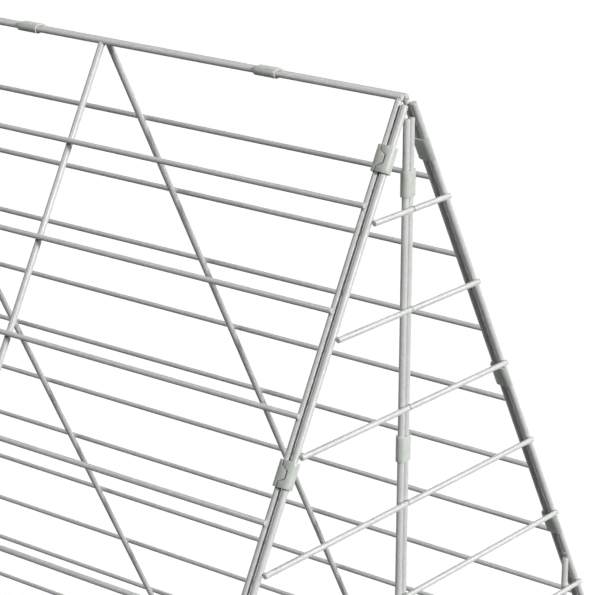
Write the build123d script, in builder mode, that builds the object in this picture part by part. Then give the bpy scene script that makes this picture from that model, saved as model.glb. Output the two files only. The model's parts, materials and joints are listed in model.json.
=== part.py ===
"""Folding triangular rabbit run: four kinds of welded wire panel joined along their edges by sheet sleeves."""
import os
from math import cos, radians, sin, tan

from build123d import *

# Wire
frame_wire = 3.0
mesh_wire = 2.5

# Sheet sleeves that hold two wires side by side
pair_gap = 0.3
leg_gap = 0.75
sleeve_wall = 0.6
sleeve_play = 0.15
leg_sleeve_play = 0.6
sleeve_length = 11.5
seam_width = 0.35
seam_inset = 0.3
tongue_tip = 3.6
tongue_flank = 1.7
hook_lip = 0.8
hook_cradle = 0.7

# Side panels
lean = radians(28.2)
first_row = 47.5
row_pitch = 45.0
row_count = 11
end_bay = 165.0
inner_bay = 171.0
inner_bay_count = 5

# End panels, each made of two half triangles
end_first_row = 47.0
end_row_pitch = 44.0
end_row_count = 10
end_upright_y = 134.5
leg_top_drop = 2.5
post_top_drop = 8.5
middle_gap = 0.2

# Places of the sleeves
ridge_sleeve_first = 70.5
ridge_sleeve_pitch = 140.0
ridge_sleeves_per_end = 4
leg_sleeve_clear = 1.0
post_sleeve_lift = 11.0
post_sleeve_drop = 18.8

# Door in the front panel
door_first_row = 5
door_row_count = 5
door_lift = 0.3
door_rung_set_back = 1.0
jamb_rung_set_back = 0.7
door_stile_tail = 12.0
latch_stub = 24.0
latch_clear = 3.0

# Sizes that follow
pair_pitch = frame_wire + pair_gap
half_pair = pair_pitch / 2
leg_pitch = frame_wire + leg_gap
weld_offset = (frame_wire + mesh_wire) / 2
seat = mesh_wire / 4
slope = 2 * first_row + (row_count - 1) * row_pitch
ridge_height = slope * cos(lean) + mesh_wire / 2
half_length = end_bay + inner_bay_count * inner_bay / 2
inner_x = [(i - inner_bay_count / 2) * inner_bay for i in range(inner_bay_count + 1)]
upright_x = [-half_length] + inner_x + [half_length]
row_depth = [first_row + i * row_pitch for i in range(row_count)]
end_row_depth = [end_first_row + i * end_row_pitch for i in range(end_row_count)]
end_x = half_length + leg_pitch
frame_bore = frame_wire + 2 * sleeve_play
mesh_bore = mesh_wire + 2 * sleeve_play
leg_bore = frame_wire + 2 * leg_sleeve_play

# The door takes the two bays around the upright right of the middle
free_jamb_x = inner_x[2]
bar_x = inner_x[3]
hinge_jamb_x = inner_x[4]
door_rows = row_depth[door_first_row - 1:door_first_row - 1 + door_row_count]
door_top = door_rows[0]
door_foot = door_rows[-1]
door_bore = frame_wire + 2 * door_lift
free_stile_x = free_jamb_x + pair_pitch
hinge_stile_x = hinge_jamb_x - pair_pitch

# Each side panel is drawn in its own plane: along, up the slope, outward
front_panel = Plane((0, -half_pair, ridge_height), x_dir=(1, 0, 0), z_dir=(0, -cos(lean), sin(lean)))
back_panel = Plane((0, half_pair, ridge_height), x_dir=(-1, 0, 0), z_dir=(0, cos(lean), sin(lean)))


def along(panel, x):
    """Cross-section plane for wires that run along a panel: outward, down the slope."""
    return Plane(panel.from_local_coords((x, 0, 0)), x_dir=panel.z_dir, z_dir=panel.x_dir)


def down(panel, depth, x=0.0, lift=0.0):
    """Cross-section plane for wires that run down a panel's slope: along, outward."""
    return Plane(panel.from_local_coords((x, -depth, lift)), x_dir=panel.x_dir, z_dir=-panel.y_dir)


def round_wires(plane, centres, diameter, length, mode=Mode.ADD):
    """Draw round wires of one length that start on one plane."""
    with BuildSketch(plane) as section:
        with Locations(*centres):
            Circle(diameter / 2)
    extrude(section.sketch, amount=length, mode=mode)


def sleeve(plane, bore, pitch=pair_pitch):
    """Fold a sheet sleeve around two wires, its seam with a tongue across both on the plane's y side."""
    with BuildSketch(plane) as ring:
        SlotCenterToCenter(pitch, bore + 2 * sleeve_wall)
        SlotCenterToCenter(pitch, bore, mode=Mode.SUBTRACT)
    extrude(ring.sketch, amount=sleeve_length)
    seam_start = plane.from_local_coords((seam_inset - pitch / 2, (bore + sleeve_wall) / 2, 0))
    tip_start = (sleeve_length - tongue_tip) / 2
    tip_end = (sleeve_length + tongue_tip) / 2
    reach = pitch - 2 * seam_inset
    with BuildSketch(Plane(seam_start, x_dir=plane.z_dir, z_dir=plane.y_dir)) as seam:
        with BuildLine():
            Polyline(
                (-seam_width, 0),
                (tip_start - tongue_flank, 0),
                (tip_start, reach),
                (tip_end, reach),
                (tip_end + tongue_flank, 0),
                (sleeve_length + seam_width, 0),
            )
        trace(line_width=seam_width)
    extrude(seam.sketch, amount=sleeve_wall, both=True, mode=Mode.SUBTRACT)


def open_sleeve(plane, bore, pitch):
    """Fold a sleeve that stays open on the plane's y side, so that the wire on the x side can lift out."""
    with BuildSketch(plane) as hook:
        SlotCenterToCenter(pitch, bore + 2 * sleeve_wall)
        SlotCenterToCenter(pitch, bore, mode=Mode.SUBTRACT)
        with Locations((hook_lip - pitch / 2, -hook_cradle)):
            Rectangle(2 * pitch, 2 * bore, align=(Align.MIN, Align.MIN), mode=Mode.SUBTRACT)
    extrude(hook.sketch, amount=sleeve_length)


# Depths of the sleeves down the legs and posts, to the sleeve's upper end
leg_sleeve_depth = [(end_first_row / cos(lean) - sleeve_length) / 2]
for row in (3, 5):
    crossing = end_row_depth[row - 1] / cos(lean)
    leg_sleeve_depth.append(crossing + mesh_wire / 2 / cos(lean) + leg_sleeve_clear)
low_sleeve_depth = [(row_depth[7] + row_depth[8] - sleeve_length) / 2]
low_sleeve_depth.append((row_depth[-1] + slope - sleeve_length) / 2)
post_sleeve_depth = [end_first_row - post_sleeve_lift - sleeve_length / 2]
for row in (3, 6, 9):
    post_sleeve_depth.append(end_row_depth[row - 1] + post_sleeve_drop - sleeve_length / 2)
hinge_sleeve_depth = [(door_rows[0] + door_rows[1] - sleeve_length) / 2]
hinge_sleeve_depth.append((door_rows[-2] + door_rows[-1] - sleeve_length) / 2)

os.makedirs("parts", exist_ok=True)

# Side panels: the uprights stand between the top and bottom wires, the rungs lie on their outer face
for side, panel in (("front", front_panel), ("back", back_panel)):
    gate = side == "front"

    with BuildPart() as top_wire:
        wire_length = 2 * half_length + frame_wire
        round_wires(along(panel, -wire_length / 2), [(0, 0)], mesh_wire, wire_length)
    top_wire.part.label = f"{side}_top_wire"
    export_step(top_wire.part, f"parts/{side}_top_wire.step")

    with BuildPart() as bottom_wire:
        round_wires(along(panel, -wire_length / 2), [(0, slope)], mesh_wire, wire_length)
    bottom_wire.part.label = f"{side}_bottom_wire"
    export_step(bottom_wire.part, f"parts/{side}_bottom_wire.step")

    with BuildPart() as uprights:
        full_height = [(x, 0) for x in upright_x if not (gate and x == bar_x)]
        round_wires(down(panel, seat), full_height, frame_wire, slope - 2 * seat)
        if gate:
            above_door = row_depth[door_first_row - 2] + mesh_wire / 2
            below_door = row_depth[door_first_row + door_row_count - 1] - mesh_wire / 2
            round_wires(down(panel, seat), [(bar_x, 0)], frame_wire, above_door - seat)
            round_wires(down(panel, below_door), [(bar_x, 0)], frame_wire, slope - below_door - seat)
        ends = along(panel, -half_length - frame_wire)
        round_wires(ends, [(0, 0), (0, slope)], mesh_wire, 2 * (half_length + frame_wire), Mode.SUBTRACT)
    uprights.part.label = f"{side}_uprights"
    export_step(uprights.part, f"parts/{side}_uprights.step")

    with BuildPart() as rungs:
        through = [(weld_offset, depth) for depth in row_depth if not (gate and depth in door_rows)]
        round_wires(along(panel, -wire_length / 2), through, mesh_wire, wire_length)
        if gate:
            cut_rows = [(weld_offset, depth) for depth in door_rows]
            short_side = free_jamb_x - pair_gap + wire_length / 2
            round_wires(along(panel, -wire_length / 2), cut_rows, mesh_wire, short_side)
            start = hinge_jamb_x + jamb_rung_set_back
            round_wires(along(panel, start), cut_rows, mesh_wire, wire_length / 2 - start)
    rungs.part.label = f"{side}_rungs"
    export_step(rungs.part, f"parts/{side}_rungs.step")

# Sleeves that tie the two top wires together along the ridge
with BuildPart() as ridge_sleeves:
    for end in (1, -1):
        for i in range(ridge_sleeves_per_end):
            middle = end * (half_length - ridge_sleeve_first - i * ridge_sleeve_pitch)
            start = (middle - sleeve_length / 2, 0, ridge_height)
            sleeve(Plane(start, x_dir=(0, -1, 0), z_dir=(1, 0, 0)), mesh_bore)
ridge_sleeves.part.label = "ridge_sleeves"
export_step(ridge_sleeves.part, "parts/ridge_sleeves.step")

# End panels: a leg wire beside each side panel's end upright and two posts back to back in the middle
for end_name, end in (("near", 1), ("far", -1)):
    plane_x = end * end_x
    rung_x = end * (end_x + weld_offset)

    for side, hand, panel in (("front", -1, front_panel), ("back", 1, back_panel)):
        name = f"{end_name}_{side}"
        leg_way = Vector(0, hand * sin(lean), -cos(lean))
        apex = Vector(plane_x, hand * half_pair, ridge_height)
        leg_start = leg_top_drop / cos(lean)
        leg_finish = (ridge_height - frame_wire / 2 * sin(lean)) / cos(lean)
        leg_plane = Plane(apex + leg_way * leg_start, z_dir=leg_way)

        with BuildPart() as leg:
            round_wires(leg_plane, [(0, 0)], frame_wire, leg_finish - leg_start)
        leg.part.label = f"{name}_leg"
        export_step(leg.part, f"parts/{name}_leg.step")

        with BuildPart() as post:
            foot = Plane((plane_x, hand * half_pair, 0), z_dir=(0, 0, 1))
            round_wires(foot, [(0, 0)], frame_wire, ridge_height - post_top_drop)
        post.part.label = f"{name}_post"
        export_step(post.part, f"parts/{name}_post.step")

        with BuildPart() as end_upright:
            foot = Plane((plane_x, hand * end_upright_y, 0), z_dir=(0, 0, 1))
            crossing = ridge_height - (end_upright_y - half_pair) / tan(lean)
            round_wires(foot, [(0, 0)], frame_wire, crossing - 1.5 * frame_wire)
            round_wires(leg_plane, [(0, 0)], frame_wire, leg_finish - leg_start, Mode.SUBTRACT)
        end_upright.part.label = f"{name}_upright"
        export_step(end_upright.part, f"parts/{name}_upright.step")

        with BuildPart() as end_bottom_wire:
            reach = half_pair + (ridge_height - mesh_wire / 2) * tan(lean)
            start = Plane((rung_x, hand * middle_gap, mesh_wire / 2), z_dir=(0, hand, 0))
            round_wires(start, [(0, 0)], mesh_wire, reach - middle_gap)
        end_bottom_wire.part.label = f"{name}_bottom_wire"
        export_step(end_bottom_wire.part, f"parts/{name}_bottom_wire.step")

        with BuildPart() as end_rungs:
            for depth in end_row_depth:
                reach = half_pair + depth * tan(lean)
                start = Plane((rung_x, hand * middle_gap, ridge_height - depth), z_dir=(0, hand, 0))
                round_wires(start, [(0, 0)], mesh_wire, reach - middle_gap)
        end_rungs.part.label = f"{name}_rungs"
        export_step(end_rungs.part, f"parts/{name}_rungs.step")

        with BuildPart() as leg_sleeves:
            along_x = end * (half_length + leg_pitch / 2) * panel.x_dir.X
            if side == "front":
                for depth in leg_sleeve_depth + low_sleeve_depth:
                    sleeve(down(panel, depth, along_x), leg_bore, leg_pitch)
            else:
                for depth in leg_sleeve_depth:
                    outward = panel.z_dir
                    toward_leg = Vector(end, 0, 0)
                    upper = panel.from_local_coords((along_x, -depth, 0))
                    lower = panel.from_local_coords((along_x, -depth - sleeve_length, 0))
                    down_slope = toward_leg.cross(outward)
                    begin = upper if down_slope.Z < 0 else lower
                    open_sleeve(Plane(begin, x_dir=toward_leg, z_dir=down_slope), leg_bore, leg_pitch)
        leg_sleeves.part.label = f"{name}_leg_sleeves"
        export_step(leg_sleeves.part, f"parts/{name}_leg_sleeves.step")

    with BuildPart() as post_sleeves:
        for depth in post_sleeve_depth:
            base = (plane_x, 0, ridge_height - depth - sleeve_length)
            inward = Vector(-end, 0, 0)
            sleeve(Plane(base, x_dir=inward.cross(Vector(0, 0, 1)), z_dir=(0, 0, 1)), frame_bore)
    post_sleeves.part.label = f"{end_name}_post_sleeves"
    export_step(post_sleeves.part, f"parts/{end_name}_post_sleeves.step")

# Door: two stiles and a bar, and five rungs whose free ends close on the jamb
with BuildPart() as door_stiles:
    stile_length = door_foot - door_top + 2 * door_stile_tail
    stiles = [(hinge_stile_x, door_lift), (bar_x, door_lift)]
    round_wires(down(front_panel, door_top - door_stile_tail), stiles, frame_wire, stile_length)
    latch_side = down(front_panel, door_top - latch_stub)
    latch_stile = door_foot - door_top + door_stile_tail + latch_stub
    round_wires(latch_side, [(free_stile_x, door_lift)], frame_wire, latch_stile)
door_stiles.part.label = "door_stiles"
export_step(door_stiles.part, "parts/door_stiles.step")

with BuildPart() as door_rungs:
    rung_start = free_jamb_x + pair_gap
    rung_length = hinge_stile_x - door_rung_set_back - rung_start
    rung_places = [(weld_offset + door_lift, depth) for depth in door_rows]
    round_wires(along(front_panel, rung_start), rung_places, mesh_wire, rung_length)
door_rungs.part.label = "door_rungs"
export_step(door_rungs.part, "parts/door_rungs.step")

# Hinge sleeves that stay on the jamb, so that the door turns about its own stile
with BuildPart() as door_hinge_sleeves:
    for depth in hinge_sleeve_depth:
        sleeve(down(front_panel, depth, hinge_jamb_x - half_pair, door_lift / 2), door_bore)
door_hinge_sleeves.part.label = "door_hinge_sleeves"
export_step(door_hinge_sleeves.part, "parts/door_hinge_sleeves.step")

# Latch: a sleeve that slides down the jamb over the free stile's stub, drawn raised
with BuildPart() as door_latch:
    raised = door_top - latch_stub - latch_clear - sleeve_length
    sleeve(down(front_panel, raised, free_jamb_x + half_pair, door_lift / 2), door_bore)
door_latch.part.label = "door_latch"
export_step(door_latch.part, "parts/door_latch.step")
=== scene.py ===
"""Folding rabbit run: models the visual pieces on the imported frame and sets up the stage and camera."""

import json
from math import pi, radians

import bmesh
import bpy
from bpy.props import FloatProperty, FloatVectorProperty, IntProperty, PointerProperty
from mathutils import Matrix, Vector
from mathutils.geometry import intersect_line_line


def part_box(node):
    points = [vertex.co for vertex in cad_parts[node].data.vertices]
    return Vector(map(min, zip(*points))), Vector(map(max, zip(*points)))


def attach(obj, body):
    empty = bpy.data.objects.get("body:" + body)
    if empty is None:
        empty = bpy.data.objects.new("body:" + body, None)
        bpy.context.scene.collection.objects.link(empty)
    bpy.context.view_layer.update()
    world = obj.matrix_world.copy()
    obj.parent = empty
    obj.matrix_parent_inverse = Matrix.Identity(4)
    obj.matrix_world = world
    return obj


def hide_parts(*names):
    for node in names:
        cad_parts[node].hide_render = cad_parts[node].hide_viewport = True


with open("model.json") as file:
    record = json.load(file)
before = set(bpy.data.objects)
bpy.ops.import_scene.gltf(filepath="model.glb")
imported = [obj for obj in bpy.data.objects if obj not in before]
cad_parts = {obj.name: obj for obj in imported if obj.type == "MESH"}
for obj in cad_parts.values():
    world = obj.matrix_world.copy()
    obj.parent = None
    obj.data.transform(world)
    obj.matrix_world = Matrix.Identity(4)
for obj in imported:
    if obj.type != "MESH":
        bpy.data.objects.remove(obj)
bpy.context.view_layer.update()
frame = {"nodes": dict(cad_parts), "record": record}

bl_info = {
    "name": "Folding Rabbit Run",
    "version": (1, 0, 0),
    "blender": (4, 5, 0),
    "location": "View3D > Sidebar > Rabbit Run",
    "description": "Builds a folding rabbit run of welded wire panels with sheet sleeve hinges",
    "category": "Object",
}

ALONG = Vector((1, 0, 0))
ACROSS = Vector((0, 1, 0))
UP = Vector((0, 0, 1))
ENDS = (("near", 1), ("far", -1))
SIDES = ("front", "back")
MM = 0.001

# Points nearer than this are one point, in a CAD mesh and in a folded sheet
CAD_MERGE = 1e-6
SHEET_MERGE = 1e-7
# Faces that meet at a smaller angle are shaded as one
SMOOTH_ANGLE = radians(42)

# Wires are thinner than in the CAD model by the slack, so that they stay inside its box
WIRE_SLACK = 0.005 * MM
CUT_END_SEGMENTS = 3

# Two wires have a weld if they cross no farther than the slack past their ends
CROSSING_SLACK = 5 * MM
WELD_SEGMENTS = 8
WELD_RINGS = 5
WELD_MATERIAL = 1
# Where the middle lines meet within the limit, one wire butts on the other, and the weld's half sizes
# are the butting wire's radius less the inset across the other wire, and plus the spread along it
BUTT_LIMIT = 0.1 * MM
BUTT_INSET = 0.05 * MM
BUTT_SPREAD = 0.4 * MM

# Folds and edges of the sheet
HOOK_STEPS = 6
TONGUE_SEGMENTS = 3
SHEET_EDGE_SEGMENTS = 2
SHEET_EDGE_ANGLE = radians(55)
# A seam's points are found by their place along the sleeve, to this many decimals of a metre
SEAM_DECIMALS = 7

# Zinc patterns: each next wire or sleeve of a piece shows them shifted by one more step
PATTERN_STEP = Vector((0.137, 0.071, 1.93))
CLOUD_SCALE = 42.0
CRYSTAL_SCALE = 640.0
CRYSTAL_SHARE = 0.3
GRAIN_SCALE = 2600.0
BLOOM_RANGE = (0.32, 0.68)
BLOOM_ROUGHNESS = (0.36, 0.27)
LINE_SCALE = (2100, 2100, 14)
LINE_RANGE = (0.25, 0.75)
LINE_SHADE = (0.95, 1.03)
SCUFF_SCALE = 310.0
SCUFF_RANGE = (0.58, 0.72)
SCUFF_STRENGTH = (0.0, 0.25)
RELIEF_DEPTH = 0.1 * MM
FULL_RANGE = (0.0, 1.0)

# A Mix node's sockets go by number, because those for values and for colours have the same names
MIX_FACTOR = 0
MIX_VALUES = (2, 3)
MIX_VALUE_RESULT = 0
MIX_COLOURS = (6, 7)
MIX_COLOUR_RESULT = 2

# Lamps: the way to each one, and the angle under which its disc is seen
LAMPS = {
    "key_lamp": ((0.9, -0.1, 0.36), radians(12)),
    "rim_lamp": ((0.68, 0.62, 0.4), radians(10)),
    "gleam_lamp": ((0.5, 0.749, 0.435), radians(40)),
    "front_lamp": ((-0.35, -0.56, 0.75), radians(17)),
    "back_lamp": ((-0.62, 0.78, 0.2), radians(17)),
}
LAMP_DISTANCE = 3
FLOOR_SEGMENTS = 96
CLIP_START = 0.05
CLIP_END = 100


def centre(node):
    """Middle of a CAD node's box."""
    low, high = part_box(node)
    return (low + high) / 2


def down_slope(side):
    """Unit vector down a side panel."""
    return (centre(f"{side}_bottom_wire") - centre(f"{side}_top_wire")).normalized()


DOWN = {side: down_slope(side) for side in SIDES}
OUT = {"front": DOWN["front"].cross(ALONG), "back": ALONG.cross(DOWN["back"])}
BODY = {node: body for body, nodes in frame["record"]["behaviour"]["bodies"].items() for node in nodes}
LEG_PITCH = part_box("near_front_leg")[1].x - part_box("front_uprights")[1].x
RIDGE_END = Vector((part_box("front_top_wire")[1].x, 0, centre("front_top_wire").z))


class RunWireSettings(bpy.types.PropertyGroup):
    """Sizes of the wires that the CAD model doesn't set."""

    sides: IntProperty(name="Sides", description="Faces around a wire", default=24, min=8)
    rim: FloatProperty(
        name="Cut End Rounding",
        description="Rounding of a wire's cut ends",
        default=0.35 * MM,
        unit="LENGTH",
    )
    weld_reach: FloatProperty(
        name="Weld Reach",
        description="How far a weld spreads along the wires",
        default=1.1 * MM,
        unit="LENGTH",
    )
    weld_height: FloatProperty(
        name="Weld Height",
        description="Half the height of a weld between two wires",
        default=0.55 * MM,
        unit="LENGTH",
    )


class RunSleeveSettings(bpy.types.PropertyGroup):
    """Sizes of the folded sheet sleeves."""

    leg_pitch: FloatProperty(
        name="Leg Pitch",
        description="Distance of the two wires in an open sleeve",
        default=LEG_PITCH,
        unit="LENGTH",
    )
    wall: FloatProperty(name="Wall", description="Sheet thickness", default=0.6 * MM, unit="LENGTH")
    seam_gap: FloatProperty(
        name="Seam Gap",
        description="Width of the open seam",
        default=0.6 * MM,
        unit="LENGTH",
    )
    seam_inset: FloatProperty(
        name="Seam Inset",
        description="How far inside the wires' middles the seam stays",
        default=0.3 * MM,
        unit="LENGTH",
    )
    tongue_tip: FloatProperty(
        name="Tongue Tip",
        description="Length of the seam tongue's straight tip",
        default=3.6 * MM,
        unit="LENGTH",
    )
    tongue_flank: FloatProperty(
        name="Tongue Flank",
        description="Length of each sloping side of the tongue, along the sleeve",
        default=1.7 * MM,
        unit="LENGTH",
    )
    tongue_round: FloatProperty(
        name="Tongue Rounding",
        description="Rounding of the tongue's corners",
        default=0.4 * MM,
        unit="LENGTH",
    )
    lip: FloatProperty(
        name="Hook Lip",
        description="Reach of an open sleeve past its own wire's middle",
        default=0.8 * MM,
        unit="LENGTH",
    )
    cradle: FloatProperty(
        name="Hook Cradle",
        description="Angle of an open sleeve around the free wire",
        default=radians(72),
        subtype="ANGLE",
    )
    rim: FloatProperty(
        name="Edge Rounding",
        description="Rounding of the sheet's edges",
        default=0.1 * MM,
        unit="LENGTH",
    )
    arc_steps: IntProperty(name="Arc Steps", description="Faces in each half turn", default=10, min=4)


class RunFinishSettings(bpy.types.PropertyGroup):
    """Colours, relief and shine of the zinc."""

    wire_bright: FloatVectorProperty(
        name="Wire Bright",
        description="Bright zinc on the wires",
        default=(0.669, 0.682, 0.667),
        subtype="COLOR",
    )
    wire_dull: FloatVectorProperty(
        name="Wire Dull",
        description="Dull zinc on the wires",
        default=(0.604, 0.617, 0.602),
        subtype="COLOR",
    )
    wire_scuff: FloatVectorProperty(
        name="Wire Scuffs",
        description="Rubbed spots on the wires",
        default=(0.5, 0.52, 0.49),
        subtype="COLOR",
    )
    wire_relief: FloatProperty(
        name="Wire Relief",
        description="Strength of the wires' fine relief",
        default=0.06,
        subtype="FACTOR",
    )
    sheet_bright: FloatVectorProperty(
        name="Sheet Bright",
        description="Bright zinc on the sleeves",
        default=(0.66, 0.69, 0.645),
        subtype="COLOR",
    )
    sheet_dull: FloatVectorProperty(
        name="Sheet Dull",
        description="Dull zinc on the sleeves",
        default=(0.575, 0.605, 0.56),
        subtype="COLOR",
    )
    sheet_scuff: FloatVectorProperty(
        name="Sheet Scuffs",
        description="Rubbed spots on the sleeves",
        default=(0.46, 0.48, 0.45),
        subtype="COLOR",
    )
    sheet_relief: FloatProperty(
        name="Sheet Relief",
        description="Strength of the sleeves' fine relief",
        default=0.08,
        subtype="FACTOR",
    )
    weld_bright: FloatVectorProperty(
        name="Weld Bright",
        description="Light part of the welds",
        default=(0.58, 0.59, 0.57),
        subtype="COLOR",
    )
    weld_dull: FloatVectorProperty(
        name="Weld Dull",
        description="Scorched part of the welds",
        default=(0.38, 0.37, 0.34),
        subtype="COLOR",
    )
    weld_scuff: FloatVectorProperty(
        name="Weld Scuffs",
        description="Darkest spots on the welds",
        default=(0.3, 0.28, 0.25),
        subtype="COLOR",
    )
    weld_relief: FloatProperty(
        name="Weld Relief",
        description="Strength of the welds' fine relief",
        default=0.3,
        subtype="FACTOR",
    )
    metallic: FloatProperty(
        name="Metallic",
        description="How metallic the zinc looks",
        default=0.03,
        min=0,
        max=1,
        subtype="FACTOR",
    )
    specular: FloatProperty(
        name="Specular",
        description="Strength of the zinc's plain highlights",
        default=0.15,
        min=0,
        max=1,
        subtype="FACTOR",
    )


class RunStageSettings(bpy.types.PropertyGroup):
    """Floor, lamps and camera."""

    floor_radius: FloatProperty(
        name="Floor Radius",
        description="Radius of the floor",
        default=7.0,
        unit="LENGTH",
    )
    floor_glow: FloatProperty(
        name="Floor Glow",
        description="White that the seen floor has without any lamp",
        default=0.62,
    )
    floor_shade: FloatProperty(
        name="Floor Shade",
        description="Grey with which the seen floor takes the lamps' light and shadows",
        default=0.6,
    )
    floor_bounce: FloatProperty(
        name="Floor Bounce",
        description="Grey with which the floor throws light back on the run",
        default=0.03,
    )
    key_light: FloatProperty(
        name="Key Light",
        description="Light on a face turned to the key lamp",
        default=2.9,
    )
    front_light: FloatProperty(
        name="Front Light",
        description="Light on a face turned to the front lamp",
        default=0.88,
    )
    rim_light: FloatProperty(
        name="Rim Light",
        description="Light on a face turned to the rim lamp",
        default=0.9,
    )
    gleam_light: FloatProperty(
        name="Gleam Light",
        description="Light of the lamp that only shows as highlights",
        default=1.7,
    )
    back_light: FloatProperty(
        name="Back Light",
        description="Light on a face turned to the back lamp",
        default=0.45,
    )
    sky_light: FloatProperty(
        name="Sky Light",
        description="Strength of the world's even light",
        default=0.02,
    )
    azimuth: FloatProperty(
        name="Azimuth",
        description="Camera's turn about the object",
        default=radians(38.331),
        subtype="ANGLE",
    )
    elevation: FloatProperty(
        name="Elevation",
        description="Camera's height angle",
        default=radians(18.296),
        subtype="ANGLE",
    )
    roll: FloatProperty(name="Roll", description="Camera's roll", default=radians(0.23), subtype="ANGLE")
    lens: FloatProperty(name="Lens", description="Focal length in millimetres", default=155.4)
    offset: FloatVectorProperty(
        name="Offset",
        description="Camera's place from the near end of the ridge: right, up, back",
        default=(-0.0441, -0.0822, 1.0539),
        subtype="TRANSLATION",
    )


def solids(node):
    """The CAD node's solids, each as a list of its points."""
    mesh = bmesh.new()
    mesh.from_mesh(frame["nodes"][node].data)
    bmesh.ops.remove_doubles(mesh, verts=mesh.verts, dist=CAD_MERGE)
    seen = set()
    groups = []
    for first in mesh.verts:
        if first in seen:
            continue
        seen.add(first)
        group = [first]
        for vert in group:
            for edge in vert.link_edges:
                other = edge.other_vert(vert)
                if other not in seen:
                    seen.add(other)
                    group.append(other)
        groups.append([vert.co.copy() for vert in group])
    mesh.free()
    return groups


def extent(points, way):
    """Lowest and highest place of the points along a direction."""
    places = [point.dot(way) for point in points]
    return min(places), max(places)


def wire_run(points, way):
    """Start and end of a straight wire's middle line, and its radius."""
    low, high = extent(points, way)
    side = way.orthogonal().normalized()
    other = way.cross(side)
    axis = Vector()
    radius = 0
    for across in (side, other):
        left, right = extent(points, across)
        axis += across * (left + right) / 2
        radius = max(radius, (right - left) / 2)
    return axis + way * low, axis + way * high, radius - WIRE_SLACK


def wire_runs(node, way):
    """Middle lines and radii of a node's wires."""
    return [wire_run(points, way) for points in solids(node)]


def new_piece():
    """An empty bmesh with the layer that keeps each point's place on its own wire or sleeve."""
    mesh = bmesh.new()
    mesh.verts.layers.float_vector.new("own_place")
    return mesh


def mark_place(mesh, old, place, number):
    """Writes the new points' places on their own wire or sleeve, apart from the others' by its number."""
    layer = mesh.verts.layers.float_vector["own_place"]
    back = place.inverted()
    for vert in mesh.verts:
        if vert not in old:
            vert[layer] = back @ vert.co + PATTERN_STEP * number


def round_off(mesh, geom, offset, segments, affect="EDGES"):
    """Rounds edges or corners."""
    bmesh.ops.bevel(
        mesh, geom=geom, offset=offset, segments=segments, profile=0.5, affect=affect, material=-1
    )


def add_wire(mesh, start, end, radius, number, settings):
    """Adds a round wire with rounded cut ends."""
    old = set(mesh.verts)
    way = end - start
    place = Matrix.Translation((start + end) / 2) @ way.to_track_quat("Z", "Y").to_matrix().to_4x4()
    made = bmesh.ops.create_cone(
        mesh,
        cap_ends=True,
        cap_tris=False,
        segments=settings.sides,
        radius1=radius,
        radius2=radius,
        depth=way.length,
        matrix=place,
    )
    faces = dict.fromkeys(face for vert in made["verts"] for face in vert.link_faces)
    rims = [edge for face in faces if len(face.verts) == settings.sides for edge in face.edges]
    round_off(mesh, rims, settings.rim, CUT_END_SEGMENTS)
    mark_place(mesh, old, place, number)


def add_weld(mesh, place, size, number):
    """Adds a weld as a flattened bead in its own material."""
    old = set(mesh.verts)
    made = bmesh.ops.create_uvsphere(
        mesh,
        u_segments=WELD_SEGMENTS,
        v_segments=WELD_RINGS,
        radius=1,
        matrix=place @ Matrix.Diagonal((*size, 1)),
    )
    for face in {face for vert in made["verts"] for face in vert.link_faces}:
        face.material_index = WELD_MATERIAL
    mark_place(mesh, old, place, number)


def basis(x_way, y_way, z_way, origin):
    """Matrix of a place with its three directions."""
    turn = Matrix((x_way, y_way, z_way)).transposed()
    return Matrix.Translation(origin) @ turn.to_4x4()


def add_welds(mesh, wire, others, number, settings):
    """Adds a weld wherever the wire meets one of the others."""
    start, end, radius = wire
    way = (end - start).normalized()
    length = (end - start).length
    for other_start, other_end, other_radius in others:
        other_way = (other_end - other_start).normalized()
        other_length = (other_end - other_start).length
        here, there = intersect_line_line(start, end, other_start, other_end)
        if not -CROSSING_SLACK < (here - start).dot(way) < length + CROSSING_SLACK:
            continue
        if not -CROSSING_SLACK < (there - other_start).dot(other_way) < other_length + CROSSING_SLACK:
            continue
        gap = there - here
        if gap.length > BUTT_LIMIT:
            normal = gap.normalized()
            room = settings.weld_reach + settings.rim
            along = min(max((here - start).dot(way), room), length - room)
            spot = start + way * along + normal * radius
            place = basis(way, normal.cross(way), normal, spot)
            size = (settings.weld_reach, settings.weld_reach, settings.weld_height)
        else:
            starts_here = (there - other_start).length < (there - other_end).length
            inward = other_way if starts_here else -other_way
            normal = way.cross(inward).normalized()
            place = basis(normal, inward.cross(normal), inward, here + inward * radius)
            size = (other_radius - BUTT_INSET, other_radius + BUTT_SPREAD, settings.weld_height)
        add_weld(mesh, place, size, number)


def add_object(name, data):
    """Puts a new object with this data into the scene."""
    item = bpy.data.objects.new(name, data)
    bpy.context.scene.collection.objects.link(item)
    return item


def place_piece(mesh, node, materials):
    """Makes the object that stands for a CAD node and ties it to the node's body."""
    name = f"{node}_piece"
    data = bpy.data.meshes.new(name)
    mesh.to_mesh(data)
    mesh.free()
    for material in materials:
        data.materials.append(material)
    data.shade_smooth()
    data.set_sharp_from_angle(angle=SMOOTH_ANGLE)
    piece = add_object(name, data)
    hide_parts(node)
    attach(piece, BODY[node])


def build_wires(context, node, way, crossing=()):
    """Models a node's wires, with welds where they meet the crossing nodes' wires."""
    settings = context.scene.run_wire
    others = [wire for other, other_way in crossing for wire in wire_runs(other, other_way)]
    mesh = new_piece()
    for number, wire in enumerate(wire_runs(node, way)):
        add_wire(mesh, *wire, number, settings)
        add_welds(mesh, wire, others, number, settings)
    place_piece(mesh, node, (wire_material(context), weld_material(context)))


def moved_part(made, kind):
    """The points or edges in what a bmesh operator returned."""
    return [item for item in made if isinstance(item, kind)]


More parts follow.
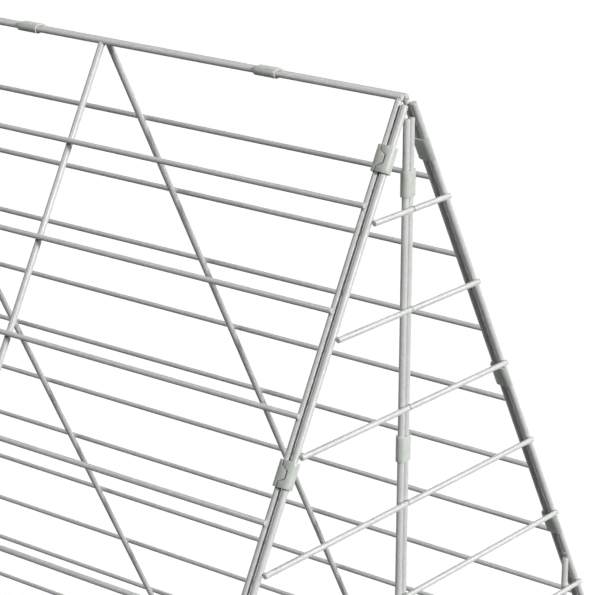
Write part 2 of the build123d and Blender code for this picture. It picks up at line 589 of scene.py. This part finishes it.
def pull_edges(mesh, edges):
    """Extrudes a chain of edges; returns the new chain's points and edges."""
    made = bmesh.ops.extrude_edge_only(mesh, edges=edges)["geom"]
    points = moved_part(made, bmesh.types.BMVert)
    ends = set(points)
    chain = [edge for edge in moved_part(made, bmesh.types.BMEdge) if ends.issuperset(edge.verts)]
    return points, chain


def turn_edges(mesh, points, edges, middle, angle, steps):
    """Spins a chain of edges about a line along the sleeve; returns the last chain's points and edges."""
    made = bmesh.ops.spin(
        mesh,
        geom=points + edges,
        cent=middle,
        axis=(0, 0, 1),
        angle=angle,
        steps=steps,
        use_duplicate=False,
    )["geom_last"]
    return moved_part(made, bmesh.types.BMVert), moved_part(made, bmesh.types.BMEdge)


def fold_sheet(stops, thickness, pitch, settings, is_open):
    """Folds a sleeve from its seam edge: across x, seam on the y side, along z."""
    mesh = new_piece()
    outer = thickness / 2
    half = pitch / 2
    corners = [mesh.verts.new((x, outer, z)) for x, z in stops]
    for pair in zip(corners, corners[1:]):
        mesh.edges.new(pair)
    bends = corners[1:-1]
    if bends:
        round_off(mesh, bends, settings.tongue_round, TONGUE_SEGMENTS, "VERTICES")
    seam = {round(vert.co.z, SEAM_DECIMALS): vert.co.x for vert in mesh.verts}
    points, chain = pull_edges(mesh, mesh.edges[:])
    for vert in points:
        vert.co.x = -half
    points, chain = turn_edges(mesh, points, chain, (-half, 0, 0), pi, settings.arc_steps)
    points, chain = pull_edges(mesh, chain)
    bmesh.ops.translate(mesh, vec=(pitch, 0, 0), verts=points)
    if is_open:
        turn_edges(mesh, points, chain, (half, 0, 0), settings.cradle, HOOK_STEPS)
    else:
        points, chain = turn_edges(mesh, points, chain, (half, 0, 0), pi, settings.arc_steps)
        points, chain = pull_edges(mesh, chain)
        for vert in points:
            vert.co.x = seam[round(vert.co.z, SEAM_DECIMALS)] + settings.seam_gap
    bmesh.ops.remove_doubles(mesh, verts=mesh.verts, dist=SHEET_MERGE)
    bmesh.ops.recalc_face_normals(mesh, faces=mesh.faces)
    bmesh.ops.solidify(mesh, geom=mesh.faces[:], thickness=settings.wall)
    sharp = [edge for edge in mesh.edges if edge.calc_face_angle(0) > SHEET_EDGE_ANGLE]
    round_off(mesh, sharp, settings.rim, SHEET_EDGE_SEGMENTS)
    return mesh


def closed_sleeve(thickness, length, pitch, settings):
    """A sleeve whose seam has a tongue that reaches over both wires."""
    reach = pitch / 2 - settings.seam_inset
    left = -reach - settings.seam_gap / 2
    right = reach - settings.seam_gap / 2
    tip_start = (length - settings.tongue_tip) / 2
    tip_end = (length + settings.tongue_tip) / 2
    stops = (
        (left, 0),
        (left, tip_start - settings.tongue_flank),
        (right, tip_start),
        (right, tip_end),
        (left, tip_end + settings.tongue_flank),
        (left, length),
    )
    return fold_sheet(stops, thickness, pitch, settings, False)


def open_sleeve(thickness, length, pitch, settings):
    """A sleeve that stays open on the seam side, so that its second wire can lift out."""
    edge = settings.lip - pitch / 2
    return fold_sheet(((edge, 0), (edge, length)), thickness, pitch, settings, True)


def build_sleeves(context, node, across, normal, is_open=False):
    """Models a node's sleeves, which lie across two wires with the seam on the normal's side."""
    settings = context.scene.run_sleeve
    along = across.cross(normal)
    mesh = new_piece()
    for number, points in enumerate(solids(node)):
        left, right = extent(points, across)
        low, high = extent(points, normal)
        begin, end = extent(points, along)
        thickness = high - low
        pitch = settings.leg_pitch if is_open else right - left - thickness
        middle = left + (thickness + pitch) / 2
        make = open_sleeve if is_open else closed_sleeve
        sheet = make(thickness, end - begin, pitch, settings)
        place = basis(across, normal, along, across * middle + normal * (low + high) / 2 + along * begin)
        bmesh.ops.transform(sheet, matrix=place, verts=sheet.verts)
        data = bpy.data.meshes.new("folded_sleeve")
        sheet.to_mesh(data)
        sheet.free()
        old = set(mesh.verts)
        mesh.from_mesh(data)
        bpy.data.meshes.remove(data)
        mark_place(mesh, old, place, number)
    place_piece(mesh, node, (sheet_material(context),))


def new_group(name, inputs, outputs):
    """A shader node group with its sockets; returns the group and its two end nodes."""
    group = bpy.data.node_groups.new(name, "ShaderNodeTree")
    for title, kind in inputs:
        group.interface.new_socket(title, in_out="INPUT", socket_type=kind)
    for title, kind in outputs:
        group.interface.new_socket(title, in_out="OUTPUT", socket_type=kind)
    return group, group.nodes.new("NodeGroupInput"), group.nodes.new("NodeGroupOutput")


def add_node(tree, kind, **values):
    """Adds a node and sets its inputs' values."""
    node = tree.nodes.new(kind)
    for title, value in values.items():
        node.inputs[title].default_value = value
    return node


def add_math(tree, operation, first, second):
    """Works out a value from two sockets and returns the result's socket."""
    node = tree.nodes.new("ShaderNodeMath")
    node.operation = operation
    for value, socket in zip((first, second), node.inputs):
        tree.links.new(value, socket)
    return node.outputs["Value"]


def remap(tree, value, source, target):
    """Maps a value from one range to another and returns the result's socket."""
    titles = ("From Min", "From Max", "To Min", "To Max")
    node = tree.nodes.new("ShaderNodeMapRange")
    for title, number in zip(titles, (*source, *target)):
        node.inputs[title].default_value = number
    tree.links.new(value, node.inputs["Value"])
    return node.outputs["Result"]


def mix_colours(tree, factor, first, second, kind="MIX"):
    """Mixes two colours, each a socket or a colour, and returns the result's socket."""
    node = tree.nodes.new("ShaderNodeMix")
    node.data_type = "RGBA"
    node.blend_type = kind
    for value, number in zip((factor, first, second), (MIX_FACTOR, *MIX_COLOURS)):
        if isinstance(value, bpy.types.NodeSocket):
            tree.links.new(value, node.inputs[number])
        else:
            node.inputs[number].default_value = value
    return node.outputs[MIX_COLOUR_RESULT]


def zinc_group():
    """Cloudy zinc with fine crystals, as colour, roughness and height."""
    name = "zinc_bloom"
    if name in bpy.data.node_groups:
        return bpy.data.node_groups[name]
    colour = "NodeSocketColor"
    inputs = (("Vector", "NodeSocketVector"), ("Bright", colour), ("Dull", colour))
    outputs = (("Color", colour), ("Roughness", "NodeSocketFloat"), ("Height", "NodeSocketFloat"))
    group, entry, leave = new_group(name, inputs, outputs)
    link = group.links.new
    cloud = add_node(group, "ShaderNodeTexNoise", Scale=CLOUD_SCALE, Detail=4.0, Roughness=0.6)
    crystal = add_node(group, "ShaderNodeTexVoronoi", Scale=CRYSTAL_SCALE)
    grain = add_node(group, "ShaderNodeTexNoise", Scale=GRAIN_SCALE, Detail=2.0)
    for texture in (cloud, crystal, grain):
        link(entry.outputs["Vector"], texture.inputs["Vector"])
    split = group.nodes.new("ShaderNodeSeparateColor")
    link(crystal.outputs["Color"], split.inputs["Color"])
    share = group.nodes.new("ShaderNodeMix")
    share.inputs[MIX_FACTOR].default_value = CRYSTAL_SHARE
    for value, number in zip((cloud.outputs["Fac"], split.outputs["Red"]), MIX_VALUES):
        link(value, share.inputs[number])
    bright = remap(group, share.outputs[MIX_VALUE_RESULT], BLOOM_RANGE, FULL_RANGE)
    shade = mix_colours(group, bright, entry.outputs["Dull"], entry.outputs["Bright"])
    link(shade, leave.inputs["Color"])
    link(remap(group, bright, FULL_RANGE, BLOOM_ROUGHNESS), leave.inputs["Roughness"])
    link(grain.outputs["Fac"], leave.inputs["Height"])
    return group


def drawn_group():
    """Fine lines along a drawn wire or a rolled sheet, as shade and height."""
    name = "drawn_lines"
    if name in bpy.data.node_groups:
        return bpy.data.node_groups[name]
    inputs = (("Vector", "NodeSocketVector"),)
    outputs = (("Shade", "NodeSocketFloat"), ("Height", "NodeSocketFloat"))
    group, entry, leave = new_group(name, inputs, outputs)
    link = group.links.new
    stretch = add_node(group, "ShaderNodeMapping", Scale=LINE_SCALE)
    lines = add_node(group, "ShaderNodeTexNoise", Scale=1.0, Detail=3.0, Roughness=0.55)
    link(entry.outputs["Vector"], stretch.inputs["Vector"])
    link(stretch.outputs["Vector"], lines.inputs["Vector"])
    link(remap(group, lines.outputs["Fac"], LINE_RANGE, LINE_SHADE), leave.inputs["Shade"])
    link(lines.outputs["Fac"], leave.inputs["Height"])
    return group


def scuff_group():
    """Rubbed and dull spots, as a mask."""
    name = "scuffs"
    if name in bpy.data.node_groups:
        return bpy.data.node_groups[name]
    inputs = (("Vector", "NodeSocketVector"),)
    outputs = (("Mask", "NodeSocketFloat"),)
    group, entry, leave = new_group(name, inputs, outputs)
    spots = add_node(group, "ShaderNodeTexNoise", Scale=SCUFF_SCALE, Detail=5.0, Roughness=0.7)
    group.links.new(entry.outputs["Vector"], spots.inputs["Vector"])
    group.links.new(remap(group, spots.outputs["Fac"], SCUFF_RANGE, FULL_RANGE), leave.inputs["Mask"])
    return group


def use_group(tree, group, vector):
    """Places a node group and feeds its vector."""
    node = tree.nodes.new("ShaderNodeGroup")
    node.node_tree = group
    tree.links.new(vector, node.inputs["Vector"])
    return node


def zinc_material(finish, name, bright, dull, scuffed, relief):
    """Zinc from the shared groups in its own colours."""
    if name in bpy.data.materials:
        return bpy.data.materials[name]
    material = bpy.data.materials.new(name)
    material.use_nodes = True
    tree = material.node_tree
    link = tree.links.new
    shader = tree.nodes["Principled BSDF"]
    shader.inputs["Metallic"].default_value = finish.metallic
    shader.inputs["Specular IOR Level"].default_value = finish.specular
    own = tree.nodes.new("ShaderNodeAttribute")
    own.attribute_name = "own_place"
    zinc = use_group(tree, zinc_group(), own.outputs["Vector"])
    zinc.inputs["Bright"].default_value = (*bright, 1)
    zinc.inputs["Dull"].default_value = (*dull, 1)
    drawn = use_group(tree, drawn_group(), own.outputs["Vector"])
    scuffs = use_group(tree, scuff_group(), own.outputs["Vector"])
    lined = mix_colours(tree, 1.0, zinc.outputs["Color"], drawn.outputs["Shade"], "MULTIPLY")
    mask = remap(tree, scuffs.outputs["Mask"], FULL_RANGE, SCUFF_STRENGTH)
    link(mix_colours(tree, mask, lined, (*scuffed, 1)), shader.inputs["Base Color"])
    link(zinc.outputs["Roughness"], shader.inputs["Roughness"])
    height = add_math(tree, "ADD", zinc.outputs["Height"], drawn.outputs["Height"])
    bump = add_node(tree, "ShaderNodeBump", Strength=relief, Distance=RELIEF_DEPTH)
    link(height, bump.inputs["Height"])
    link(bump.outputs["Normal"], shader.inputs["Normal"])
    return material


def wire_material(context):
    """Bright drawn wire."""
    finish = context.scene.run_finish
    colours = (finish.wire_bright, finish.wire_dull, finish.wire_scuff)
    return zinc_material(finish, "zinc_wire", *colours, finish.wire_relief)


def sheet_material(context):
    """Folded zinc sheet."""
    finish = context.scene.run_finish
    colours = (finish.sheet_bright, finish.sheet_dull, finish.sheet_scuff)
    return zinc_material(finish, "zinc_sheet", *colours, finish.sheet_relief)


def weld_material(context):
    """Slightly scorched weld."""
    finish = context.scene.run_finish
    colours = (finish.weld_bright, finish.weld_dull, finish.weld_scuff)
    return zinc_material(finish, "zinc_weld", *colours, finish.weld_relief)


class RunOperator:
    """Options that the operators share."""

    bl_options = {"REGISTER", "UNDO"}


class RUN_OT_side_panels(RunOperator, bpy.types.Operator):
    """Model the front and back side panels' wires"""

    bl_idname = "rabbit_run.side_panels"
    bl_label = "Side Panels"

    def execute(self, context):
        for side in SIDES:
            uprights = (f"{side}_uprights", DOWN[side])
            build_wires(context, *uprights)
            for kind in ("top_wire", "bottom_wire", "rungs"):
                build_wires(context, f"{side}_{kind}", ALONG, (uprights,))
        return {"FINISHED"}


class RUN_OT_end_panels(RunOperator, bpy.types.Operator):
    """Model the four half triangles at the two ends"""

    bl_idname = "rabbit_run.end_panels"
    bl_label = "End Panels"

    def execute(self, context):
        for end, _ in ENDS:
            for side in SIDES:
                half = f"{end}_{side}"
                leg = (f"{half}_leg", DOWN[side])
                post = (f"{half}_post", UP)
                upright = (f"{half}_upright", UP)
                build_wires(context, *leg, (upright,))
                build_wires(context, *post)
                build_wires(context, *upright)
                for kind in ("bottom_wire", "rungs"):
                    build_wires(context, f"{half}_{kind}", ACROSS, (leg, post, upright))
        return {"FINISHED"}


class RUN_OT_door(RunOperator, bpy.types.Operator):
    """Model the door's wires"""

    bl_idname = "rabbit_run.door"
    bl_label = "Door"

    def execute(self, context):
        stiles = ("door_stiles", DOWN["front"])
        build_wires(context, *stiles)
        build_wires(context, "door_rungs", ALONG, (stiles,))
        return {"FINISHED"}


class RUN_OT_ridge_sleeves(RunOperator, bpy.types.Operator):
    """Model the sleeves around the two top wires"""

    bl_idname = "rabbit_run.ridge_sleeves"
    bl_label = "Ridge Sleeves"

    def execute(self, context):
        build_sleeves(context, "ridge_sleeves", -ACROSS, -UP)
        return {"FINISHED"}


class RUN_OT_leg_sleeves(RunOperator, bpy.types.Operator):
    """Model the sleeves between the side panels and the end panels' legs"""

    bl_idname = "rabbit_run.leg_sleeves"
    bl_label = "Leg Sleeves"

    def execute(self, context):
        for end, sign in ENDS:
            build_sleeves(context, f"{end}_front_leg_sleeves", ALONG, OUT["front"])
            build_sleeves(context, f"{end}_back_leg_sleeves", ALONG * sign, OUT["back"], True)
        return {"FINISHED"}


class RUN_OT_post_sleeves(RunOperator, bpy.types.Operator):
    """Model the sleeves around the two posts of each end"""

    bl_idname = "rabbit_run.post_sleeves"
    bl_label = "Post Sleeves"

    def execute(self, context):
        for end, sign in ENDS:
            inward = ALONG * -sign
            build_sleeves(context, f"{end}_post_sleeves", inward.cross(UP), inward)
        return {"FINISHED"}


class RUN_OT_door_sleeves(RunOperator, bpy.types.Operator):
    """Model the door's hinge sleeves and its sliding latch sleeve"""

    bl_idname = "rabbit_run.door_sleeves"
    bl_label = "Door Sleeves"

    def execute(self, context):
        for node in ("door_hinge_sleeves", "door_latch"):
            build_sleeves(context, node, ALONG, OUT["front"])
        return {"FINISHED"}


def grey(level):
    """Opaque grey, from 0 for black to 1 for white."""
    return (level, level, level, 1)


def seen_ray(tree):
    """Socket that is 1 for camera, glossy and transmission rays."""
    path = tree.nodes.new("ShaderNodeLightPath")
    seen = path.outputs["Is Camera Ray"]
    for title in ("Is Glossy Ray", "Is Transmission Ray"):
        seen = add_math(tree, "MAXIMUM", seen, path.outputs[title])
    return seen


def floor_material(settings):
    """White floor where it is seen, with the soft shadow on it, and dark for the light it throws back."""
    material = bpy.data.materials.new("floor_white")
    material.use_nodes = True
    tree = material.node_tree
    tree.nodes.clear()
    link = tree.links.new
    glow = add_node(tree, "ShaderNodeEmission", Color=grey(1), Strength=settings.floor_glow)
    lit = add_node(tree, "ShaderNodeBsdfDiffuse", Color=grey(settings.floor_shade))
    both = tree.nodes.new("ShaderNodeAddShader")
    dim = add_node(tree, "ShaderNodeBsdfDiffuse", Color=grey(settings.floor_bounce))
    choose = tree.nodes.new("ShaderNodeMixShader")
    leave = tree.nodes.new("ShaderNodeOutputMaterial")
    link(glow.outputs["Emission"], both.inputs[0])
    link(lit.outputs["BSDF"], both.inputs[1])
    link(seen_ray(tree), choose.inputs[0])
    link(dim.outputs["BSDF"], choose.inputs[1])
    link(both.outputs["Shader"], choose.inputs[2])
    link(choose.outputs["Shader"], leave.inputs["Surface"])
    return material


def add_floor(settings):
    """Adds the round floor."""
    mesh = bmesh.new()
    bmesh.ops.create_circle(mesh, cap_ends=True, segments=FLOOR_SEGMENTS, radius=settings.floor_radius)
    data = bpy.data.meshes.new("floor")
    mesh.to_mesh(data)
    mesh.free()
    data.materials.append(floor_material(settings))
    return add_object("floor", data)


def white_world(settings):
    """World that is white where it is seen and lights the run only a little."""
    world = bpy.data.worlds.new("white_room")
    world.use_nodes = True
    tree = world.node_tree
    sky = tree.nodes["Background"]
    level = remap(tree, seen_ray(tree), FULL_RANGE, (settings.sky_light, 1.0))
    sky.inputs["Color"].default_value = grey(1)
    tree.links.new(level, sky.inputs["Strength"])
    return world


def add_lamp(name, light, lights=True, shines=True):
    """Adds a far lamp that is seen under an angle, and lights surfaces, shows as highlights or both."""
    direction, angle = LAMPS[name]
    data = bpy.data.lights.new(name, "SUN")
    data.angle = angle
    data.energy = light
    lamp = add_object(name, data)
    way = Vector(direction).normalized()
    lamp.location = way * LAMP_DISTANCE
    lamp.visible_diffuse = lights
    lamp.visible_glossy = shines
    lamp.rotation_mode = "QUATERNION"
    lamp.rotation_quaternion = way.to_track_quat("Z", "Y")
    return lamp


def add_camera(settings):
    """Adds the camera, placed from the near end of the ridge."""
    turn = Matrix.Rotation(settings.azimuth, 3, "Z") @ Matrix.Rotation(pi / 2 - settings.elevation, 3, "X")
    turn = turn @ Matrix.Rotation(settings.roll, 3, "Z")
    data = bpy.data.cameras.new("camera")
    data.lens = settings.lens
    data.clip_start = CLIP_START
    data.clip_end = CLIP_END
    camera = add_object("camera", data)
    camera.matrix_world = Matrix.Translation(RIDGE_END + turn @ Vector(settings.offset)) @ turn.to_4x4()
    return camera


class RUN_OT_stage(RunOperator, bpy.types.Operator):
    """Set up the floor, world, lamps and camera"""

    bl_idname = "rabbit_run.stage"
    bl_label = "Stage"

    def execute(self, context):
        scene = context.scene
        settings = scene.run_stage
        scene.view_settings.view_transform = "Standard"
        floor = add_floor(settings)
        scene.world = white_world(settings)
        key = add_lamp("key_lamp", settings.key_light)
        rim = add_lamp("rim_lamp", settings.rim_light)
        gleam = add_lamp("gleam_lamp", settings.gleam_light, lights=False)
        front = add_lamp("front_lamp", settings.front_light)
        back = add_lamp("back_lamp", settings.back_light, shines=False)
        camera = add_camera(settings)
        scene.camera = camera
        return {"FINISHED"}


OPERATORS = (
    RUN_OT_side_panels,
    RUN_OT_end_panels,
    RUN_OT_door,
    RUN_OT_ridge_sleeves,
    RUN_OT_leg_sleeves,
    RUN_OT_post_sleeves,
    RUN_OT_door_sleeves,
    RUN_OT_stage,
)
SETTINGS = (
    ("run_wire", RunWireSettings),
    ("run_sleeve", RunSleeveSettings),
    ("run_finish", RunFinishSettings),
    ("run_stage", RunStageSettings),
)


class RUN_PT_sidebar(bpy.types.Panel):
    """Settings and steps of the rabbit run"""

    bl_idname = "RUN_PT_sidebar"
    bl_label = "Rabbit Run"
    bl_space_type = "VIEW_3D"
    bl_region_type = "UI"
    bl_category = "Rabbit Run"

    def draw(self, context):
        for name, kind in SETTINGS:
            box = self.layout.box()
            for title in kind.__annotations__:
                box.prop(getattr(context.scene, name), title)
        for operator in OPERATORS:
            self.layout.operator(operator.bl_idname)


CLASSES = (*(kind for _, kind in SETTINGS), *OPERATORS, RUN_PT_sidebar)


def register():
    """Registers the classes and adds the settings to the scene."""
    for item in CLASSES:
        bpy.utils.register_class(item)
    for name, kind in SETTINGS:
        setattr(bpy.types.Scene, name, PointerProperty(type=kind))


def unregister():
    """Takes the settings off the scene and unregisters the classes."""
    for name, _ in SETTINGS:
        delattr(bpy.types.Scene, name)
    for item in reversed(CLASSES):
        bpy.utils.unregister_class(item)


def main():
    """Builds everything in order."""
    register()
    bpy.ops.rabbit_run.side_panels()
    bpy.ops.rabbit_run.end_panels()
    bpy.ops.rabbit_run.door()
    bpy.ops.rabbit_run.ridge_sleeves()
    bpy.ops.rabbit_run.leg_sleeves()
    bpy.ops.rabbit_run.post_sleeves()
    bpy.ops.rabbit_run.door_sleeves()
    bpy.ops.rabbit_run.stage()


if __name__ == "__main__":
    main()
